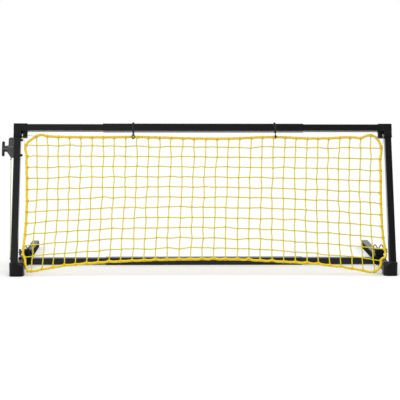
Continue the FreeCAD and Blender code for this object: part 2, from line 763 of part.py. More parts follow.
def cord_anchor():
    """Small eye on the post that holds the cord's lower end."""
    low = pin_height + anchor_height
    base = block(out_x(seat_gap), out_x(anchor_out), pin_y - anchor_size / 2, pin_y + anchor_size / 2,
                 low, low + anchor_size)
    outer = [e for e in edges_along(base, V(0, 1, 0)) if abs(e.BoundBox.XMin - out_x(anchor_out)) < 0.01]
    return base.makeFillet(anchor_round, outer)


cord_start_drop = bracket_top_drop + bracket_height + ferrule_length
cord_top = V(out_x(ferrule_out), pin_y, top_z(cord_start_drop) - cord_end_gap)
cord_foot = V(out_x(cord_foot_out), pin_y, pin_height + anchor_height + anchor_size + cord_end_gap)
cord_middle = (cord_top + cord_foot) / 2 - V(cord_bow, 0, 0)
bolts, nuts = clamp_bolts_and_nuts()
save("cord_bracket", lean(cord_bracket()))
save("clamp_bolts", lean(bolts))
save("clamp_nuts", lean(nuts))
save("cord_knob", lean(cord_knob()))
save("cord_anchor", lean(cord_anchor()))
save("side_cord", lean(tube_along([cord_top, cord_middle, cord_foot], cord_radius, "side cord")))


# Net in the middle of the leaning frame
def net_x(across):
    return across * (post_x - rope_side_gap) / rope_widest


def net_down(down):
    return down * (frame_height + rope_hang) / rope_lowest


def net_point(x, down):
    return V(x, pin_y, top_z(down))


def rope_points():
    points = [net_point(net_x(x), net_down(down)) for x, down in rope_line]
    first = points[0] - V(rope_splice / 2, 0, 0)
    last = points[0] + V(rope_splice / 2, 0, 0)
    return [first] + points[1:] + [last]


def net_panel():
    """One flat sheet with a grid of gaps, inside the border rope."""
    points = rope_points()
    path = rounded_path(points)[0]
    outline = Part.Wire(path.Edges + [Part.LineSegment(points[-1], points[0]).toShape()])
    edge = outline.makeOffset2D(-(rope_radius + seat_gap), 0)
    inner = outline.makeOffset2D(-(rope_radius + seat_gap + twine), 0)
    if edge.BoundBox.XLength > outline.BoundBox.XLength:
        raise ValueError("the net's outline was offset outwards")
    room = edge.BoundBox
    pitch_x = room.XLength / net_columns
    pitch_z = room.ZLength / net_rows
    cells = []
    for i in range(net_columns):
        for j in range(net_rows):
            x = room.XMin + i * pitch_x + twine / 2
            z = room.ZMin + j * pitch_z + twine / 2
            cells.append(Part.makePlane(pitch_x - twine, pitch_z - twine, V(x, pin_y, z + pitch_z - twine),
                                        V(0, 1, 0), V(1, 0, 0)))
    gaps = Part.makeCompound(cells).common(Part.Face(inner))
    kept = [f for f in gaps.Faces if f.Area > least_gap_area]
    sheet = Part.Face(edge).cut(Part.makeCompound(kept))
    print("net gaps:", len(kept), "faces:", len(sheet.Faces))
    solid = sheet.Faces[0].extrude(V(0, twine, 0))
    solid.translate(V(0, -twine / 2, 0))
    for tie_x in (tie_left, tie_right):
        x = net_x(tie_x)
        half = strap_width / 2 + ring_gap
        low = top_z(net_down(tie_down) + rope_radius + ring_gap + ring_wall + ring_gap)
        solid = solid.cut(block(x - half, x + half, pin_y - twine, pin_y + twine, low, top_z(0)))
    return solid


def net_tie(x):
    """Strap round the top sleeve with a ring below it for the border rope."""
    z = top_z(0)
    inner = wide_side + 2 * strap_gap
    outer = inner + 2 * strap_thick
    start, end = x - strap_width / 2, x + strap_width / 2
    loop = square_bar("x", start, end, outer, (pin_y, z), strap_round)
    loop = loop.cut(square_bar("x", start - 1, end + 1, inner, (pin_y, z), strap_round - strap_thick))
    ring_z = top_z(net_down(tie_down))
    ring_out = rope_radius + ring_gap + ring_wall
    ring = rod(V(start, pin_y, ring_z), V(end, pin_y, ring_z), ring_out)
    neck = block(start, end, pin_y - neck_half, pin_y + neck_half, ring_z, z - outer / 2 + strap_thick / 2)
    knot = block(x - knot_half_width, x + knot_half_width, pin_y - knot_half_depth,
                 pin_y + knot_half_depth, z + outer / 2 - 0.3, z + outer / 2 + knot_height)
    knot = knot.makeFillet(knot_round, knot.Edges)
    hole = rod(V(start - 1, pin_y, ring_z), V(end + 1, pin_y, ring_z), rope_radius + ring_gap)
    return loop.fuse([ring.fuse(neck).cut(hole), knot]).removeSplitter()


def lace(start, end):
    """Short straight twine from frame or block to a place beside the rope, drawn as its line is."""
    return rod(net_point(*start), net_point(net_x(end[0]), net_down(end[1])), lace_radius)


save("net", lean(net_panel()))
save("border_rope", lean(tube_along(rope_points(), rope_radius, "border rope")))
save("net_tie_left", lean(net_tie(net_x(tie_left))))
save("net_tie_right", lean(net_tie(net_x(tie_right))))
arm_face = post_x - elbow_reach - lace_gap
block_face = foot_x - block_width / 2 - lip_proud - lace_gap
eyelet_x = post_x - thin_half - eyelet_from_post
under_gusset = gusset_drop + lace_gap
save("corner_lace_top_left", lean(Part.makeCompound([
    lace((-arm_face, gusset_drop - 8), (-561, 25)),
    lace((-eyelet_x + 5, under_gusset), (-595, 49))])))
save("corner_lace_top_right", lean(Part.makeCompound([
    lace((arm_face, gusset_drop - 10), (574, 21)),
    lace((eyelet_x, under_gusset), (601, 60))])))
left_start = (-block_face, frame_height + low_lace_hang["left"])
right_start = (block_face, frame_height + low_lace_hang["right"])
save("corner_lace_bottom_left", lean(lace(left_start, (-580, 485.5))))
save("corner_lace_bottom_right", lean(lace(right_start, (567, 491))))
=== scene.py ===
import json
import math
import random

import bpy
import numpy as np
from mathutils import Matrix, Vector

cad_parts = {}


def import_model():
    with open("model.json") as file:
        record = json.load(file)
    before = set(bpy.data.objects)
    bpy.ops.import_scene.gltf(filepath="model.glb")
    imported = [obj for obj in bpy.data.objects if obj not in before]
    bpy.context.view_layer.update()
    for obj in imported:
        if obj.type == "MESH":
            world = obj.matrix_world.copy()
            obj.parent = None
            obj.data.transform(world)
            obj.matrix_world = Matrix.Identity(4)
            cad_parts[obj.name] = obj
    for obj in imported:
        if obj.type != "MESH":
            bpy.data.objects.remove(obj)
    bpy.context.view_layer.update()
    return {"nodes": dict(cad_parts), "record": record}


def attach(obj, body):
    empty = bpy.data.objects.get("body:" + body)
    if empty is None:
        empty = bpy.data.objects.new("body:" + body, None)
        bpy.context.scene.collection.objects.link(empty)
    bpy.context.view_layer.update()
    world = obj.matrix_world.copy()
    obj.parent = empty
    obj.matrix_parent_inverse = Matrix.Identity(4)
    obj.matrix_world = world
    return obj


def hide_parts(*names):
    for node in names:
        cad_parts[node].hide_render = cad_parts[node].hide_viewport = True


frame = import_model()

nodes = frame["nodes"]

# Sizes shared with the construction, in metres
LEAN = math.radians(20.0)
PIN = Vector((0.0, -0.172, 0.037))
FRAME_HEIGHT = 0.459
POST_X = 0.6185
THIN = 0.0222
WIDE = 0.0254
ROPE_R = 0.0035
ROPE_SWELL = 0.0004
ROPE_SIDES = 16
ROPE_LAY = 0.014
STRAND_RISE = 0.045
CROSSING_RISE = 0.012
DIP_COAT = 0.0006
TWINE_R = 0.0019
LASHING_R = 0.0012
LACE_R = 0.0008
WRAP_TURNS = 3
WRAP_ASKEW = 0.12
WRAP_PITCH = 1.9
TIE_X = {"left": -0.234, "right": 0.239}
TIE_DOWN = 0.031

# The border rope's line in the leaning plane: across, and down from the top bar
ROPE_LINE = [
    (-26, 444), (-157, 446), (-287, 451), (-417, 460), (-482, 468), (-514, 474), (-547, 481),
    (-563, 484), (-571, 484), (-576, 480), (-579, 471), (-583, 457), (-583, 443), (-591, 430),
    (-591, 410), (-586, 373), (-582, 293),
    (-583, 232), (-585, 171), (-588, 116), (-586, 95), (-594, 70), (-589, 53), (-575, 41),
    (-554, 25), (-535, 24), (-512, 30), (-458, 31), (-378, 32), (-298, 32), (-264, 31), (-204, 31),
    (-138, 33), (22, 37), (103, 36), (160, 33), (209, 31), (269, 31),
    (320, 35), (425, 35), (476, 31), (506, 31), (528, 35), (548, 26), (564, 23), (580, 31),
    (590, 46), (597, 66), (595, 87), (590, 113), (591, 144), (588, 240), (588, 310), (590, 368),
    (594, 401), (598, 430), (596, 438), (582, 444), (582, 456), (577, 469), (568, 481), (560, 487),
    (548, 488), (530, 485), (497, 477),
    (432, 468), (367, 460), (301, 455), (203, 450), (137, 446), (72, 444),
]

# The net's layout: columns and rows of knots counted from its middle
COLUMNS = 16
ROWS = 6
NET_SEED = 7
NET_MIDDLE = 0.24
SIDE_ROPE = 0.5
ROPE_STEP = 0.0015
KINK_LENGTH = 0.009
PULL_TOP = (0.0006, 0.0014)
PULL_BOTTOM = (0.0006, 0.0030)
PULL_SIDE = (0.0004, 0.0016)

# Unevenness of the knots and the twine, and the knots' own size
KNOT_SPREAD = 0.0012
TWINE_WAVE = 0.0007
TWINE_LIFT = 0.0004
KNOT_ACROSS = 0.0024
KNOT_OUT = 0.0020
KNOT_R = 0.0013
KNOT_POINTS = 9


def on_frame(x, down, out=0.0):
    """A point of the leaning frame: across, down from the top bar's line, and out to the back."""
    up = FRAME_HEIGHT - down
    return Vector((x, PIN.y + up * math.sin(LEAN) + out * math.cos(LEAN),
                   PIN.z + up * math.cos(LEAN) - out * math.sin(LEAN)))


# Mesh helpers
def mesh_object(name, verts, faces, material, body):
    mesh = bpy.data.meshes.new(name)
    mesh.from_pydata([tuple(v) for v in verts], [], faces)
    mesh.validate()
    mesh.polygons.foreach_set("use_smooth", [True] * len(mesh.polygons))
    mesh.update()
    obj = bpy.data.objects.new(name, mesh)
    bpy.context.scene.collection.objects.link(obj)
    obj.data.materials.append(material)
    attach(obj, body)
    return obj


class Builder:
    """Collects the vertices and faces of one mesh."""

    def __init__(self):
        self.verts = []
        self.faces = []

    def rings(self, rings, closed=False):
        """Joins rings of equally many points into a skin, with end faces unless it closes on itself."""
        start = len(self.verts)
        sides = len(rings[0])
        for ring in rings:
            self.verts.extend(ring)
        count = len(rings)
        for r in range(count if closed else count - 1):
            a, b = start + r * sides, start + ((r + 1) % count) * sides
            for k in range(sides):
                n = (k + 1) % sides
                self.faces.append((a + k, a + n, b + n, b + k))
        if not closed:
            self.faces.append(tuple(start + k for k in reversed(range(sides))))
            self.faces.append(tuple(start + (count - 1) * sides + k for k in range(sides)))


def tangents(points, closed):
    p = np.array(points, float)
    if closed:
        t = np.roll(p, -1, 0) - np.roll(p, 1, 0)
    else:
        t = np.gradient(p, axis=0)
    return t / np.linalg.norm(t, axis=1)[:, None]


def sweep(builder, points, radius, sides=8, closed=False, start_normal=(0, 1, 0), relief=None):
    """Tube along points, with its radius scaled by relief(step, angle)."""
    p = np.array(points, float)
    t = tangents(p, closed)
    n = np.array(start_normal, float)
    n = n - t[0] * (n @ t[0])
    if np.linalg.norm(n) < 1e-6:
        n = np.cross(t[0], (1, 0, 0.3))
    n /= np.linalg.norm(n)
    rings = []
    for i in range(len(p)):
        n = n - t[i] * (n @ t[i])
        n /= np.linalg.norm(n)
        b = np.cross(t[i], n)
        ring = []
        for k in range(sides):
            a = 2 * math.pi * k / sides
            r = radius * (relief(i, a) if relief else 1.0)
            ring.append(p[i] + (n * math.cos(a) + b * math.sin(a)) * r)
        rings.append(ring)
    builder.rings(rings, closed)


def smooth_line(points, per_run, closed=False):
    """Points read from the smooth NURBS line whose control points these are."""
    curve = bpy.data.curves.new("line", "CURVE")
    curve.dimensions = "3D"
    curve.resolution_u = per_run
    spline = curve.splines.new("NURBS")
    spline.points.add(len(points) - 1)
    for q, p in zip(spline.points, points):
        q.co = (*p, 1.0)
    spline.order_u = 3
    if closed:
        spline.use_cyclic_u = True
    else:
        spline.use_endpoint_u = True
    obj = bpy.data.objects.new("line", curve)
    mesh = bpy.data.meshes.new_from_object(obj)
    line = np.array([v.co for v in mesh.vertices], float).reshape(-1, 3)
    bpy.data.objects.remove(obj)
    bpy.data.curves.remove(curve)
    bpy.data.meshes.remove(mesh)
    return line


def evenly(loop, step):
    """The same closed line with points a steady step apart."""
    p = np.vstack([loop, loop[:1]])
    lengths = np.concatenate([[0], np.cumsum(np.linalg.norm(np.diff(p, axis=0), axis=1))])
    count = int(round(lengths[-1] / step))
    s = np.linspace(0, lengths[-1], count + 1)[:-1]
    return np.stack([np.interp(s, lengths, p[:, k]) for k in range(3)], 1)


# Materials
def material(name):
    m = bpy.data.materials.new(name)
    m.use_nodes = True
    tree = m.node_tree
    tree.nodes.clear()
    out = tree.nodes.new("ShaderNodeOutputMaterial")
    shader = tree.nodes.new("ShaderNodeBsdfPrincipled")
    tree.links.new(shader.outputs[0], out.inputs["Surface"])
    return m, tree, shader


def node(tree, kind, inputs=(), **settings):
    n = tree.nodes.new(kind)
    for key, value in settings.items():
        setattr(n, key, value)
    for key, value in dict(inputs).items():
        if isinstance(value, bpy.types.NodeSocket):
            tree.links.new(value, n.inputs[key])
        else:
            n.inputs[key].default_value = value
    return n


def object_place(tree, scale=(1, 1, 1)):
    place = node(tree, "ShaderNodeTexCoord").outputs["Object"]
    return node(tree, "ShaderNodeMapping", {"Vector": place, "Scale": scale}).outputs[0]


def noise(tree, place, scale, detail=2.0, rough=0.5):
    return node(tree, "ShaderNodeTexNoise", {"Vector": place, "Scale": scale, "Detail": detail,
                                             "Roughness": rough}).outputs["Fac"]


def ramp(tree, value, low, high, to_low, to_high):
    return node(tree, "ShaderNodeMapRange", {"Value": value, "From Min": low, "From Max": high,
                                             "To Min": to_low, "To Max": to_high}).outputs[0]


def maths(tree, operation, *values):
    return node(tree, "ShaderNodeMath", enumerate(values), operation=operation).outputs[0]


def blend(tree, factor, a, b):
    """Number between a and b, by factor."""
    return node(tree, "ShaderNodeMix", {0: factor, 2: a, 3: b}, data_type="FLOAT").outputs[0]


def mix(tree, factor, a, b):
    """Colour between a and b, by factor."""
    m = node(tree, "ShaderNodeMix", data_type="RGBA")
    for key, value in ((0, factor), (6, a), (7, b)):
        if isinstance(value, bpy.types.NodeSocket):
            tree.links.new(value, m.inputs[key])
        else:
            m.inputs[key].default_value = (*value, 1.0) if key else value
    return m.outputs[2]


def seen_straight(tree, path):
    """One for rays that reach the camera straight or through a clear piece, else nought."""
    return maths(tree, "MAXIMUM", path.outputs["Is Camera Ray"], path.outputs["Is Transmission Ray"])


def bump(tree, height, strength, distance):
    return node(tree, "ShaderNodeBump", {"Height": height, "Strength": strength,
                                         "Distance": distance}).outputs[0]


def powder_coat(dark, light):
    m, tree, shader = material("black_powder_coat")
    place = object_place(tree)
    along = object_place(tree, (2.0, 30.0, 30.0))
    fine = noise(tree, place, 1400.0, 2.0)
    broad = noise(tree, along, 14.0, 4.0, 0.6)
    colour = mix(tree, ramp(tree, broad, 0.35, 0.75, 0.0, 1.0), dark, light)
    tree.links.new(colour, shader.inputs["Base Color"])
    tree.links.new(ramp(tree, broad, 0.3, 0.7, 0.34, 0.27), shader.inputs["Roughness"])
    tree.links.new(bump(tree, fine, 0.25, 0.0002), shader.inputs["Normal"])
    shader.inputs["Specular IOR Level"].default_value = 0.5
    return m


def moulded(name, dark, light, rough, grain=900.0, depth=0.35, shine=0.5):
    m, tree, shader = material(name)
    place = object_place(tree)
    cells = node(tree, "ShaderNodeTexVoronoi", {"Vector": place, "Scale": grain},
                 feature="SMOOTH_F1").outputs["Distance"]
    broad = noise(tree, place, 60.0, 4.0, 0.6)
    colour = mix(tree, ramp(tree, broad, 0.35, 0.7, 0.0, 1.0), dark, light)
    tree.links.new(colour, shader.inputs["Base Color"])
    tree.links.new(ramp(tree, broad, 0.3, 0.7, rough - 0.05, rough + 0.07), shader.inputs["Roughness"])
    tree.links.new(bump(tree, cells, depth, 0.00025), shader.inputs["Normal"])
    shader.inputs["Specular IOR Level"].default_value = shine
    return m


def grey_with_painted_edge_shade(name, face, edge, rough):
    """Grey moulding with painted shade: its rounded edges and sides, turned from the view, get a darker
    colour than its faces, which carry random lighter patches of painted sheen.
    """
    m, tree, shader = material(name)
    broad = noise(tree, object_place(tree, (60, 60, 160)), 3.0, 4.0, 0.6)
    fine = noise(tree, object_place(tree), 1300.0, 2.0)
    # painted shade: the colour darkens where the surface turns away from the view
    painted_shade_mask = node(tree, "ShaderNodeLayerWeight", {"Blend": 0.5}).outputs["Facing"]
    # painted sheen: random patches half again as light as the face colour
    painted_sheen_patches = mix(tree, ramp(tree, broad, 0.35, 0.65, 0.0, 1.0), face, tuple(c * 1.5 for c in face))
    colour = mix(tree, ramp(tree, painted_shade_mask, 0.25, 0.6, 0.0, 1.0), painted_sheen_patches, edge)
    tree.links.new(colour, shader.inputs["Base Color"])
    tree.links.new(ramp(tree, broad, 0.3, 0.7, rough, rough + 0.1), shader.inputs["Roughness"])
    tree.links.new(bump(tree, fine, 0.2, 0.0002), shader.inputs["Normal"])
    return m


def plated(name, dark, light, rough):
    m, tree, shader = material(name)
    brushed = noise(tree, object_place(tree, (40, 400, 400)), 20.0, 3.0)
    broad = noise(tree, object_place(tree), 180.0, 4.0)
    tree.links.new(mix(tree, broad, dark, light), shader.inputs["Base Color"])
    tree.links.new(ramp(tree, brushed, 0.3, 0.7, rough - 0.06, rough + 0.08), shader.inputs["Roughness"])
    tree.links.new(bump(tree, brushed, 0.15, 0.0001), shader.inputs["Normal"])
    shader.inputs["Metallic"].default_value = 1.0
    return m


def fibre(name, dark, light, scale, rough=0.75, sheen=0.3):
    m, tree, shader = material(name)
    place = object_place(tree)
    strands = noise(tree, place, scale, 3.0, 0.6)
    broad = noise(tree, place, 45.0, 3.0, 0.6)
    colour = mix(tree, ramp(tree, strands, 0.3, 0.7, 0.0, 1.0), dark, light)
    soiled = mix(tree, ramp(tree, broad, 0.45, 0.8, 0.0, 0.35), colour, tuple(c * 0.75 for c in dark))
    tree.links.new(soiled, shader.inputs["Base Color"])
    tree.links.new(bump(tree, strands, 0.5, 0.0004), shader.inputs["Normal"])
    shader.inputs["Roughness"].default_value = rough
    shader.inputs["Sheen Weight"].default_value = sheen
    shader.inputs["Specular IOR Level"].default_value = 0.2
    shader.inputs["Sheen Roughness"].default_value = 0.5
    return m


MATS = {
    "frame_paint": powder_coat((0.0050, 0.0050, 0.0055), (0.011, 0.011, 0.012)),
    "moulding": moulded("black_moulding", (0.0045, 0.0045, 0.005), (0.009, 0.009, 0.010), 0.42,
                        shine=0.3),
    "pivot_moulding": moulded("pivot_moulding", (0.002, 0.002, 0.0022), (0.005, 0.005, 0.0055), 0.34,
                              grain=700.0, shine=0.3),
    "wing_plastic": moulded("wing_moulding", (0.008, 0.008, 0.008), (0.018, 0.018, 0.018), 0.4),
    # bracket: painted shade on edges turned from the view, painted sheen in patches
    "bracket_metal": grey_with_painted_edge_shade("bracket_grey", (0.050, 0.050, 0.052), (0.012, 0.012, 0.012), 0.32),
    "knob_plastic": moulded("knob_black", (0.012, 0.012, 0.013), (0.022, 0.022, 0.023), 0.33, 1200.0, 0.15),
    "zinc": plated("zinc_plate", (0.5, 0.5, 0.48), (0.7, 0.7, 0.68), 0.32),
    "spring_steel": plated("spring_steel", (0.28, 0.28, 0.31), (0.4, 0.4, 0.43), 0.3),
    "black_hardware": plated("black_plated", (0.015, 0.015, 0.016), (0.03, 0.03, 0.032), 0.4),
    "black_wire": moulded("dipped_wire", (0.004, 0.004, 0.004), (0.010, 0.010, 0.010), 0.6, 1500.0, 0.15),
    "net_twine": fibre("net_twine", (0.60, 0.52, 0.002), (0.86, 0.76, 0.004), 2600.0, sheen=0.0),
    "border_rope": fibre("border_rope", (0.80, 0.54, 0.008), (0.96, 0.74, 0.014), 1900.0, sheen=0.05),
    "tie_strap": fibre("tie_cord", (0.010, 0.010, 0.012), (0.03, 0.03, 0.033), 2200.0, 0.6, 0.1),
    "lacing": fibre("lacing", (0.62, 0.50, 0.16), (0.80, 0.70, 0.32), 2600.0),
    "side_cord": fibre("side_cord", (0.56, 0.50, 0.12), (0.74, 0.68, 0.24), 2600.0),
}
slot_of = {s["node"]: s["material_slot"] for s in frame["record"]["subparts"]}
for name, obj in nodes.items():
    obj.data.materials.clear()
    obj.data.materials.append(MATS[slot_of[name]])
for side in ("left", "right"):
    coat = nodes["wire_hook_" + side].modifiers.new("dip_coat", "DISPLACE")
    coat.strength = DIP_COAT
    coat.mid_level = 0.0


# Net: columns and rows of twine with a knot at each crossing
rng = random.Random(NET_SEED)
rope_control = [on_frame(x / 1000, down / 1000) for x, down in ROPE_LINE]
rope_line = evenly(smooth_line(rope_control, 16, closed=True), ROPE_STEP)


def flat(points):
    """Across and down of points in the leaning plane."""
    down = FRAME_HEIGHT - ((points[:, 1] - PIN.y) * math.sin(LEAN) + (points[:, 2] - PIN.z) * math.cos(LEAN))
    return points[:, 0], down


def rope_at_column(x, lower):
    """Index of the rope's point above or below the net's middle at that x."""
    rope_x, rope_down = flat(rope_line)
    half = rope_down > NET_MIDDLE if lower else rope_down < NET_MIDDLE
    return int(np.argmin(np.where(half, np.abs(rope_x - x), 9.0)))


def rope_at_row(down, right):
    rope_x, rope_down = flat(rope_line)
    half = rope_x > SIDE_ROPE if right else rope_x < -SIDE_ROPE
    return int(np.argmin(np.where(half, np.abs(rope_down - down), 9.0)))


def knot_place(i, j):
    """Where column i and row j cross: even cells, a little closer and lower towards the sides.

    The numbers, in millimetres, are the offset, pitch and bend of the rows and columns."""
    u, v = i / COLUMNS, j / ROWS
    x = 604.6 * u - 18.0 * u ** 3 - 7.3 * v + 5.0 * u * u * v + 8.5 * u * v * v + 0.7
    down = 236.0 + 205.3 * v + 5.4 * u + 17.8 * u * u + 22.5 * u * u * v + 1.1 * u * v
    return x / 1000, down / 1000


def pull_rope(index, toward, amount):
    """Draws the rope a little towards the net where a twine holds it."""
    away = np.abs(np.arange(len(rope_line)) - index)
    along = np.minimum(away, len(rope_line) - away) * ROPE_STEP
    side = np.array(toward, float) - rope_line[index]
    side /= np.linalg.norm(side)
    return rope_line + np.outer(amount * np.exp(-(along / KINK_LENGTH) ** 2), side)


knots = {}
for i in range(-COLUMNS + 1, COLUMNS):
    for j in range(-ROWS + 1, ROWS):
        x, down = knot_place(i, j)
        knots[i, j] = (x + rng.gauss(0, KNOT_SPREAD), down + rng.gauss(0, KNOT_SPREAD))
rope_ends = {}
for i in range(-COLUMNS + 1, COLUMNS):
    for j in (-ROWS, ROWS):
        near = on_frame(*knots[i, j - 1 if j > 0 else j + 1])
        index = rope_at_column(knot_place(i, j)[0], j > 0)
        rope_line = pull_rope(index, near, rng.uniform(*(PULL_BOTTOM if j > 0 else PULL_TOP)))
        rope_ends[i, j] = index
for j in range(-ROWS + 1, ROWS):
    for i in (-COLUMNS, COLUMNS):
        near = on_frame(*knots[i - 1 if i > 0 else i + 1, j])
        index = rope_at_row(knot_place(i, j)[1], i > 0)
        rope_line = pull_rope(index, near, rng.uniform(*PULL_SIDE))
        rope_ends[i, j] = index
rope_x, rope_down = flat(rope_line)
for key, index in rope_ends.items():
    knots[key] = (float(rope_x[index]), float(rope_down[index]))


def twine_line(places):
    """Twine through a row of places, each stretch bowed and a little uneven."""
    points = []
    for k, (x, down) in enumerate(places):
        points.append(on_frame(x, down, rng.gauss(0, TWINE_LIFT)))
        if k < len(places) - 1:
            nx, nd = places[k + 1]
            for share in (0.33, 0.67):
                points.append(on_frame(x + (nx - x) * share + rng.gauss(0, TWINE_WAVE),
                                       down + (nd - down) * share + rng.gauss(0, TWINE_WAVE),
                                       rng.gauss(0, TWINE_WAVE)))
    return points


def ring_points(centre, axis, radius, count=12):
    """Circle of points round an axis."""
    axis = Vector(axis).normalized()
    one = axis.orthogonal().normalized()
    two = axis.cross(one)
    turns = [2 * math.pi * k / count for k in range(count)]
    return [Vector(centre) + (one * math.cos(a) + two * math.sin(a)) * radius for a in turns]


def wrap_rope(builder, index, thick):
    """A few turns of twine round the border rope, side by side and a little askew."""
    ahead = rope_line[(index + 1) % len(rope_line)] - rope_line[index - 1]
    ahead = Vector(ahead).normalized()
    for k in range(WRAP_TURNS):
        centre = Vector(rope_line[index]) + ahead * (k - (WRAP_TURNS - 1) / 2) * thick * WRAP_PITCH
        askew = Vector([rng.gauss(0, WRAP_ASKEW) for _ in range(3)])
        ring = ring_points(centre, ahead + askew, ROPE_R + ROPE_SWELL + thick * 0.6)
        sweep(builder, ring, thick, 6, closed=True, start_normal=tuple(ahead))


def build_net():
    b = Builder()
    for i in range(-COLUMNS + 1, COLUMNS):
        places = [knots[i, j] for j in range(-ROWS, ROWS + 1)]
        sweep(b, smooth_line(twine_line(places), 2), TWINE_R, 6)
    for j in range(-ROWS + 1, ROWS):
        places = [knots[i, j] for i in range(-COLUMNS, COLUMNS + 1)]
        sweep(b, smooth_line(twine_line(places), 2), TWINE_R, 6)
    for i in range(-COLUMNS + 1, COLUMNS):
        for j in range(-ROWS + 1, ROWS):
            x, down = knots[i, j]
            for tilt in (-1, 1):
                spin = tilt * math.radians(45 + rng.gauss(0, 8))
                ring = []
                for k in range(KNOT_POINTS):
                    a = 2 * math.pi * k / KNOT_POINTS
                    across = KNOT_ACROSS * math.cos(a)
                    ring.append(on_frame(x + across * math.cos(spin), down + across * math.sin(spin),
                                         KNOT_OUT * math.sin(a)))
                sweep(b, ring, KNOT_R, 5, closed=True, start_normal=(0.3, 1, 0.2))
    return mesh_object("net_twine", b.verts, b.faces, MATS["net_twine"], "frame")


def build_rope():
    """Braided rope with crossing strands in its relief, lashed where each twine meets it."""
    b = Builder()

    def relief(i, angle):
        s = i * ROPE_STEP / ROPE_LAY * 2 * math.pi
        one = math.cos(4 * angle + s)
        two = math.cos(4 * angle - s)
        return 1.0 + STRAND_RISE * max(one, two) + CROSSING_RISE * one * two

    sweep(b, rope_line, ROPE_R + ROPE_SWELL, ROPE_SIDES, closed=True, relief=relief)
    for index in rope_ends.values():
        wrap_rope(b, index, LASHING_R)
    return mesh_object("braided_border_rope", b.verts, b.faces, MATS["border_rope"], "frame")


net = build_net()
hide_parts("net")
rope = build_rope()
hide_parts("border_rope")


# Black ties that hang the border rope under the top sleeve
STRAP_GAP = 0.0009
STRAP_CORNER = 0.0026
STRAP_HALF = 0.0026
STRAP_SPREAD = 0.0012
STRAP_LIFT = 0.0007
LOOP_R = 0.0013
HANGER_R = 0.0014


def strap(builder, x, slant):
    """Flat woven tape once round the sleeve, drawn in towards the knot at its lower front edge."""
    reach = WIDE / 2 + STRAP_GAP
    flat_end = reach - STRAP_CORNER
    path = []
    for quarter in range(4):
        middle = math.radians(90 * quarter)
        for step in range(5):
            turn = middle + math.radians(-45 + 22.5 * step)
            cx = math.copysign(flat_end, math.cos(middle + math.radians(45)))
            cz = math.copysign(flat_end, math.sin(middle + math.radians(45)))
            a = turn + math.radians(45)
            path.append((cx + STRAP_CORNER * math.cos(a), cz + STRAP_CORNER * math.sin(a), a))
    rings = []
    for out, rise, a in path:
        low_front = math.hypot(out + reach, rise + reach)
        half = STRAP_HALF + STRAP_SPREAD * min(1.0, low_front / reach)
        centre = x + slant * (reach - rise) / (2 * reach)
        ring = []
        for k in range(10):
            t = 2 * math.pi * k / 10
            across = half * math.cos(t)
            lift = STRAP_LIFT * math.sin(t)
            ring.append(on_frame(centre + across, -(rise + lift * math.sin(a)), out + lift * math.cos(a)))
        rings.append(ring)
    builder.rings(rings, closed=True)


def cord_run(builder, places, thick, sides=8):
    """Cord through places given as across, down and out of the frame's plane."""
    line = smooth_line([on_frame(*p) for p in places], 6)
    sweep(builder, line, thick, sides, start_normal=(0.3, 1, 0.1))


def knot_lump(builder, place, size, thick, seed):
    """Small knot: a few turns of cord in different directions."""
    chance = random.Random(seed)
    centre = on_frame(*place)
    for k in range(3):
        axis = Vector([chance.uniform(-1, 1) for _ in range(3)])
        sweep(builder, ring_points(centre, axis, size, 10), thick, 7, closed=True,
              start_normal=tuple(axis.normalized()))


def build_tie(side):
    x = TIE_X[side]
    front = -WIDE / 2 - 0.0012
    low = WIDE / 2
    b = Builder()
    if side == "left":
        strap(b, x, 0.0)
        for way in (-1, 1):
            cord_run(b, [(x + way * 0.0010, low - 0.004, front),
                         (x + way * 0.0008, low + 0.003, front + 0.003),
                         (x - way * 0.0008, low + 0.007, -0.007),
                         (x + way * 0.0036, TIE_DOWN - 0.006, -0.0056),
                         (x + way * 0.0044, TIE_DOWN, -0.0056),
                         (x + way * 0.0036, TIE_DOWN + 0.005, -0.0045),
                         (x + way * 0.0012, TIE_DOWN + 0.0072, 0.0),
                         (x + way * 0.0012, TIE_DOWN + 0.003, 0.0052),
                         (x + way * 0.0012, TIE_DOWN - 0.004, 0.0050),
                         (x, TIE_DOWN - 0.009, -0.003)], LOOP_R)
        knot_lump(b, (x, low + 0.0075, -0.0072), 0.0016, 0.0012, 3)
    else:
        strap(b, x - 0.001, 0.004)
        for way in (-1, 1):
            cord_run(b, [(x + 0.001 + way * 0.0010, low - 0.004, front),
                         (x + 0.001 + way * 0.0010, low + 0.003, -0.010),
                         (x + 0.002 - way * 0.0009, low + 0.009, -0.007),
                         (x + 0.003 + way * 0.0010, TIE_DOWN - 0.003, -0.0055)], HANGER_R)
        for shift in (-0.0014, 0.0014):
            centre = on_frame(x + 0.002 + shift, TIE_DOWN)
            sweep(b, ring_points(centre, (1, 0.1, 0.05), ROPE_R + 0.0012), LOOP_R, 7, closed=True,
                  start_normal=(1, 0, 0))
        knot_lump(b, (x + 0.003, TIE_DOWN - 0.001, -0.0062), 0.0024, 0.0017, 5)
    knot_lump(b, (x, -WIDE / 2 - 0.0028, -0.004), 0.0023, 0.0015, 8)
    tie = mesh_object("tie_" + side, b.verts, b.faces, MATS["tie_strap"], "frame")
    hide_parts("net_tie_" + side)


# Pale laces between the corners and the border rope
def rope_near(x, down):
    rope_x, rope_down = flat(rope_line)
    return int(np.argmin(np.hypot(rope_x - x, rope_down - down)))


def build_lace(name, runs, wraps):
    """Twines of one corner: each run is a list of places, each wrap a spot on the rope."""
    b = Builder()
    for places in runs:
        cord_run(b, places, LACE_R, 6)
    for x, down in wraps:
        wrap_rope(b, rope_near(x, down), LACE_R)
    lace = mesh_object(name + "_twine", b.verts, b.faces, MATS["lacing"], "frame")
    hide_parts(name)


